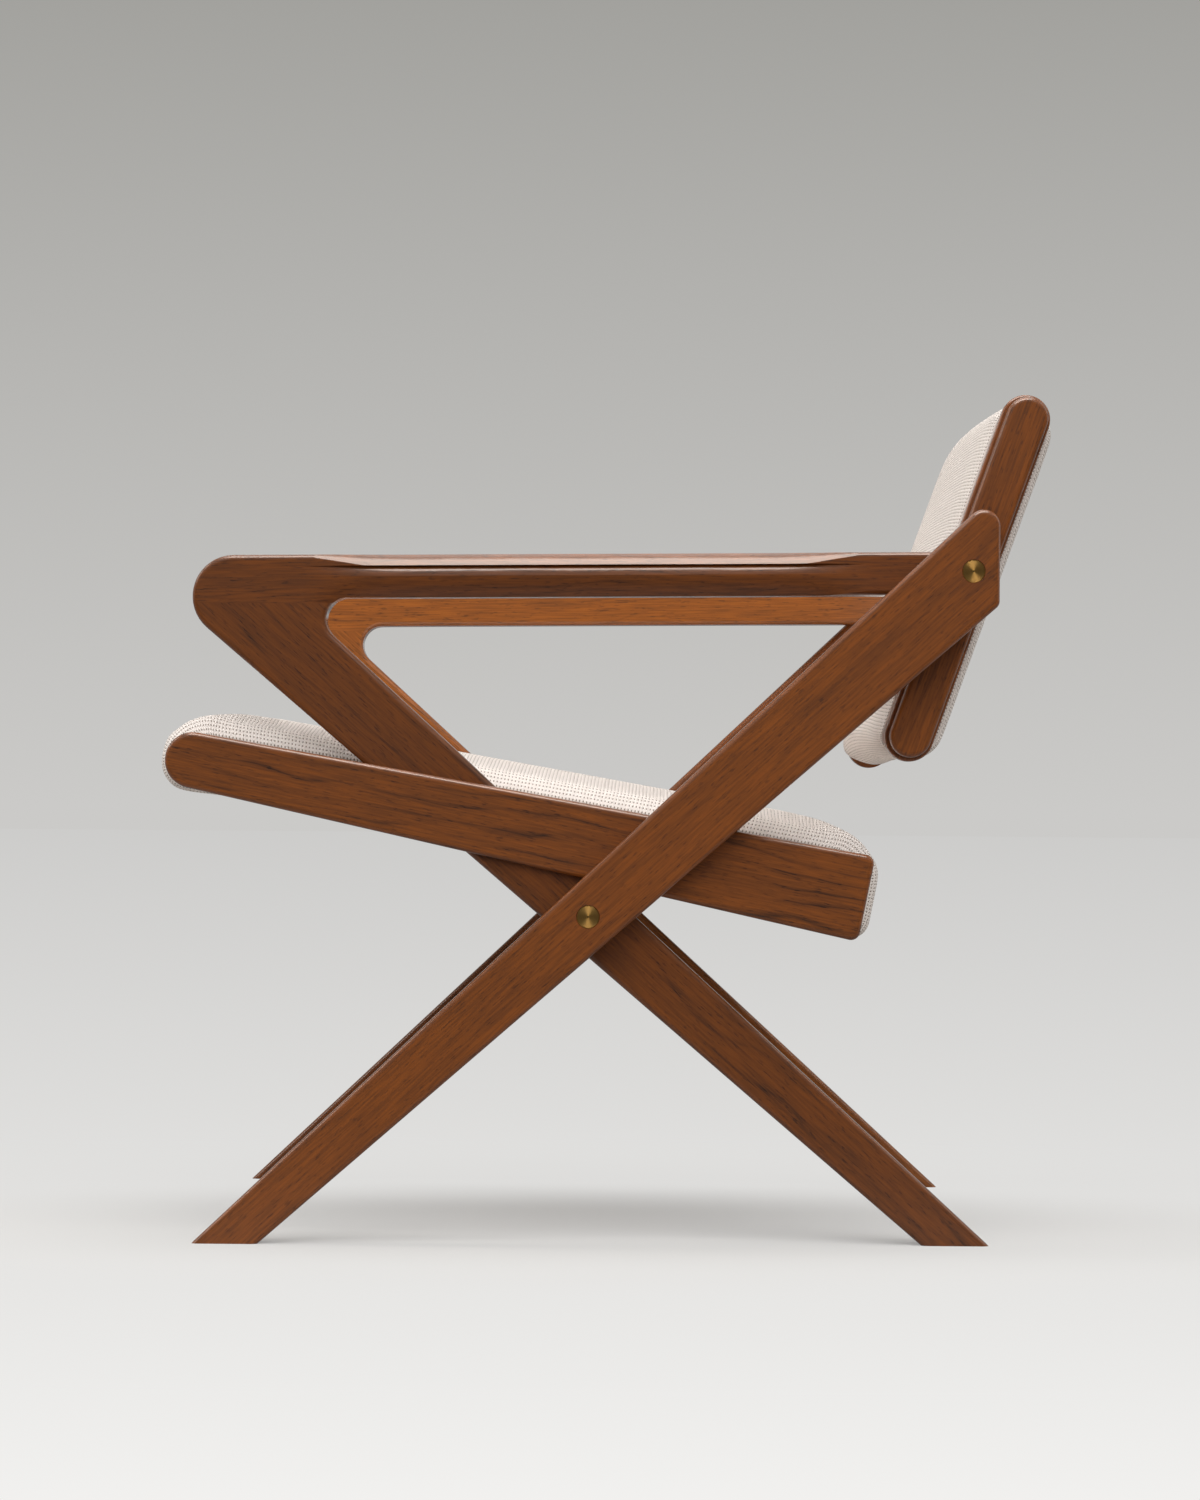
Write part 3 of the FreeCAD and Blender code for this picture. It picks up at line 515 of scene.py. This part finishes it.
wool = ribbed_weave()
seat_corners = ((-0.38256, 0.46487), (0.24935, 0.35458), (0.23048, 0.25926), (-0.39578, 0.39810))
seat_radii = (0.0417, 0.042, 0.018, 0.0237)
seat_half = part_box("seat_cover")[1].x
seat_edge = 0.024
seat_rests = (0.0005, 0.0005, 0.0008, 0.0005)
seat_crown = 0.003
seat_x, seat_draw = across_pad(seat_half, seat_edge, seat_edge, 36)
seat_inset = seat_draw + np.array(seat_rests)
seat_inset[:, 0] -= seat_crown * np.clip(1 - (seat_x / (seat_half - seat_edge)) ** 2, 0, 1)
seat_points = pad_grid(seat_corners, seat_radii, seat_x, seat_inset, (72, 6, 72, 6), 10)

# The foam hangs a little under the front edge, in a soft bulge.
nose_drop = 0.004
nose_y, nose_spread = -0.372, 0.028
nose_top, nose_fade = 0.43, 0.02
underside = np.clip((nose_top - seat_points[..., 2]) / nose_fade, 0, 1)
seat_points[..., 2] -= nose_drop * underside * np.exp(-((seat_points[..., 1] - nose_y) / nose_spread) ** 2)
seat_cushion = pad_piece("seat_cushion", seat_points)

# Only the top is free to swell, from the front edge to the rear edge.
ring_place = np.arange(seat_points.shape[1])
top_start, top_end = 5, 92
top = (ring_place > top_start) & (ring_place < top_end)
held = ~top[None, :] | (np.abs(seat_x) > seat_half - 0.001)[:, None]
swell(seat_cushion, held, pressure=3.0, most=0.004)
seat_cushion.data.materials.append(wool)
smooth = seat_cushion.modifiers.new("Subdivision", "SUBSURF")
smooth.levels = 1
smooth.render_levels = 1
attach(seat_cushion, "frame")
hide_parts("seat_cover", "seat_foam")
dress(wool, "seat_cover")


# Back plates and back ends
# Each end of the backrest is two layers of teak: an outer plate with the pivot through it and an inner end
# a little larger all round, which the padding butts against. The grain runs up the back.
back_slope = 90 - 19.75
dress(teak("teak_back_plate_left", back_slope, heart=(0.06, 0.03, 0.02), ring_pitch=0.006,
           figure=0.25, shift=9.2), "left_back_plate")
dress(teak("teak_back_plate_right", back_slope, heart=(-0.06, 0.03, 0.02), ring_pitch=0.006,
           figure=0.25, shift=10.5), "right_back_plate")
dress(teak("teak_back_end_left", back_slope, heart=(0.08, 0.02, 0.02), ring_pitch=0.006,
           figure=0.25, shift=11.1), "left_back_end")
dress(teak("teak_back_end_right", back_slope, heart=(-0.08, 0.02, 0.02), ring_pitch=0.006,
           figure=0.25, shift=12.6), "right_back_end")


# Back frame
# A beech rail at the top and one at the bottom join the two ends, with webbing straps between them and
# foam over the straps.
dress(pale_wood, "back_top_rail", "back_bottom_rail")
dress(strap, "back_webbing")
dress(foam, "back_foam")


# Back cushion
# Foam in the same cover, drawn round the top and the bottom in the same curve as the wooden ends. It butts
# against the ends with a small rolled edge, and its front stands a little proud in the middle.
back_corners = ((0.34496, 0.74264), (0.39625, 0.72423), (0.28491, 0.41411), (0.23361, 0.43253))
back_radii = (0.024, 0.024, 0.026, 0.013)
back_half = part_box("back_cover")[1].x
back_edge = 0.003
back_roll = 0.014
back_rest = 0.001
rear_proud, rear_crown = 0.0015, 0.0025
front_crown = 0.009
back_x, back_draw = across_pad(back_half, back_edge, back_roll, 37)
back_inset = back_draw + np.full(4, back_rest)
rise = np.clip(1 - (back_x / (back_half - back_edge)) ** 2, 0, 1)
back_inset[:, 1] -= rear_proud + rear_crown * rise
back_inset[:, 3] -= front_crown * rise
back_points = pad_grid(back_corners, back_radii, back_x, back_inset, (4, 36, 4, 36), 10)
back_cushion = pad_piece("back_cushion", back_points)
held = np.broadcast_to((np.abs(back_x) > back_half - 0.001)[:, None], back_points.shape[:2])
swell(back_cushion, held, pressure=3.0, most=0.002)
back_cushion.data.materials.append(wool)
smooth = back_cushion.modifiers.new("Subdivision", "SUBSURF")
smooth.levels = 1
smooth.render_levels = 1
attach(back_cushion, "backrest")
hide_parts("back_cover", "back_foam")
dress(wool, "back_cover")


# Floor
# A pale studio floor that grows lighter towards the camera. Part of its brightness is its own, so that the
# shadow between the feet stays soft.
def studio_floor():
    """Pale grey that takes the shadow between the feet.
    Its level is a base and a share that falls as one over the distance to the spot under the camera. Round
    the chair part of it is paint that takes the shadow, and the rest glows by itself. The camera sees this
    floor, the reflections see a dimmer one, and other rays meet a dark one, so little light comes from
    below."""
    camera_spot = (3.8, 0, 0)
    nearest, softness = 1.9, 0.8
    base_level, near_gain = 0.6, 0.63
    material, tree, _ = new_material("studio_floor")
    place = add(tree, "TexCoord", {}).outputs["Object"]
    axes = add(tree, "SeparateXYZ", {0: place})
    away = add(tree, "VectorMath", {0: place, 1: camera_spot}, operation="DISTANCE").outputs["Value"]
    kept = add(tree, "Math", {0: away, 1: nearest, 2: softness}, operation="SMOOTH_MAX")
    near = add(tree, "Math", {0: near_gain, 1: kept.outputs[0]}, operation="DIVIDE")
    level = add(tree, "Math", {0: near.outputs[0], 1: base_level}, operation="ADD")
    warm = add(tree, "VectorMath", {0: (1.0, 0.992, 0.975), "Scale": level.outputs[0]}, operation="SCALE")
    glow = add(tree, "Emission", {"Color": warm.outputs[0], "Strength": 1.0})
    worn = add(tree, "VectorMath", {0: warm.outputs[0], "Scale": 0.92}, operation="SCALE")
    paint = add(tree, "BsdfDiffuse", {"Color": worn.outputs[0]})
    offset = add(tree, "Mapping", {"Vector": place, "Location": (-0.3, 0, 0), "Scale": (1.5, 0.8, 0)})
    spread = add(tree, "VectorMath", {0: offset.outputs[0]}, operation="LENGTH").outputs["Value"]
    under = add(tree, "MapRange", {0: spread, 1: 0.25, 2: 0.75, 3: 0.65, 4: 0.06},
                interpolation_type="SMOOTHSTEP")
    beyond = add(tree, "MapRange", {0: spread, 1: 0.9, 2: 1.5, 3: 1.0, 4: 0.0},
                 interpolation_type="SMOOTHSTEP")
    shaded = add(tree, "Math", {0: under.outputs[0], 1: beyond.outputs[0]}, operation="MULTIPLY")
    seen = add(tree, "MixShader", {0: shaded.outputs[0], 1: glow.outputs[0], 2: paint.outputs[0]})
    dim = add(tree, "BsdfDiffuse", {"Color": (0.4, 0.385, 0.37, 1)})
    beneath = add(tree, "MapRange", {0: axes.outputs[0], 1: 0.4, 2: 1.4, 3: 0.4, 4: 0.05})
    mirrored = add(tree, "Emission", {"Color": warm.outputs[0], "Strength": beneath.outputs[0]})
    path = add(tree, "LightPath", {})
    reflected = add(tree, "Math", {
        0: path.outputs["Is Glossy Ray"], 1: path.outputs["Is Transmission Ray"],
    }, operation="MAXIMUM")
    unseen = add(tree, "MixShader", {0: reflected.outputs[0], 1: dim.outputs[0], 2: mirrored.outputs[0]})
    shown = add(tree, "MixShader", {
        0: path.outputs["Is Camera Ray"], 1: unseen.outputs[0], 2: seen.outputs[0],
    })
    tree.links.new(shown.outputs[0], tree.nodes["Material Output"].inputs["Surface"])
    return material


floor_mesh = bpy.data.meshes.new("floor")
reach = 60
floor_corners = [(-reach, -reach, 0), (reach, -reach, 0), (reach, reach, 0), (-reach, reach, 0)]
floor_mesh.from_pydata(floor_corners, [], [(0, 1, 2, 3)])
floor = bpy.data.objects.new("floor", floor_mesh)
floor.data.materials.append(studio_floor())
scene.collection.objects.link(floor)


# Backdrop
# A plain grey paper that darkens upwards. It is seen directly and, dimmer towards the camera's side, in
# reflections. The light that it gives is a low fill, stronger from above the camera.
world = bpy.data.worlds.new("studio")
world.use_nodes = True
scene.world = world
sky = world.node_tree
direction = add(sky, "TexCoord", {}).outputs["Generated"]
axes = add(sky, "SeparateXYZ", {0: direction})
towards = axes.outputs[0]
upward = axes.outputs[2]
paper = add(sky, "ValToRGB", {"Fac": add(sky, "MapRange", {0: upward, 1: 0.0, 2: 0.21}).outputs[0]})
paper.color_ramp.elements[0].color = linear("CBCAC8")
paper.color_ramp.elements[1].color = linear("9F9E9A")
room = add(sky, "MapRange", {0: towards, 1: 0.0, 2: 0.5, 3: 1.0, 4: 0.07})
path = add(sky, "LightPath", {})
reflected = add(sky, "Math", {
    0: path.outputs["Is Glossy Ray"], 1: path.outputs["Is Transmission Ray"],
}, operation="MAXIMUM")
backdrop = add(sky, "Background", {"Color": paper.outputs[0], "Strength": 1.0})
mirrored = add(sky, "Background", {"Color": paper.outputs[0], "Strength": room.outputs[0]})
low_fill, high_fill = 0.22, 3.0
facing = add(sky, "MapRange", {0: towards, 1: -0.1, 2: 0.85, 3: 0.0, 4: high_fill},
             interpolation_type="SMOOTHSTEP")
above = add(sky, "MapRange", {0: upward, 1: 0.15, 2: 0.8}, interpolation_type="SMOOTHSTEP")
level = add(sky, "Math", {0: facing.outputs[0], 1: above.outputs[0], 2: low_fill}, operation="MULTIPLY_ADD")
fill = add(sky, "Background", {"Color": (1, 1, 1, 1), "Strength": level.outputs[0]})
unlit = add(sky, "MixShader", {0: reflected.outputs[0], 1: fill.outputs[0], 2: mirrored.outputs[0]})
lit = add(sky, "MixShader", {0: path.outputs["Is Camera Ray"], 1: unlit.outputs[0], 2: backdrop.outputs[0]})
sky.links.new(lit.outputs[0], sky.nodes["World Output"].inputs["Surface"])


# Lamps
# An arch of long narrow soft boxes stands over the chair: one above, one before and one behind it, one high
# on the camera's side and one on the far side. They draw the bright lines along the rounded edges. A large
# card beside them shows only in the gloss of the oiled wood and the brass.
def soft_box(name, place, aim, size, power, colour=(1.0, 1.0, 1.0)):
    """An area lamp turned towards a point."""
    lamp = bpy.data.lights.new(name, "AREA")
    lamp.shape = "RECTANGLE"
    lamp.size, lamp.size_y = size
    lamp.energy = power
    lamp.color = colour
    holder = bpy.data.objects.new(name, lamp)
    holder.location = place
    holder.rotation_euler = (Vector(aim) - Vector(place)).to_track_quat("-Z", "Y").to_euler()
    scene.collection.objects.link(holder)
    return holder


warm_white = (1.0, 0.94, 0.87)
overhead = soft_box("overhead_box", (-0.1, 0.0, 2.5), (-0.1, 0.0, 0.0), (0.5, 2.4), 11)
edge = soft_box("edge_strip", (1.0, 0.0, 2.5), (0.29, 0.0, 0.59), (1.3, 0.15), 5, warm_white)
front = soft_box("front_strip", (0.1, -2.1, 1.9), (0.1, 0.0, 0.6), (0.35, 1.3), 11, warm_white)
rear = soft_box("rear_strip", (0.1, 2.1, 1.9), (0.1, 0.0, 0.6), (0.35, 1.3), 5, warm_white)
rim = soft_box("rim_box", (-1.5, 0.0, 2.4), (0.0, 0.0, 0.5), (2.0, 0.4), 8, warm_white)
card = soft_box("gloss_card", (1.0, 0.0, 2.5), (0.29, 0.0, 0.59), (1.8, 1.1), 56, warm_white)
card.visible_diffuse = False


# Camera
# It stands level with the seat and square to the left side of the chair.
lens = bpy.data.cameras.new("camera")
lens.sensor_fit = "VERTICAL"
lens.sensor_height = 36
lens.lens = 97.34
lens.clip_end = 300
camera = bpy.data.objects.new("camera", lens)
camera.location = (3.808, -0.00437, 0.3754)
camera.rotation_euler = (math.radians(90.842), math.radians(-0.464), math.radians(90))
scene.collection.objects.link(camera)
scene.camera = camera
scene.view_settings.view_transform = "Standard"
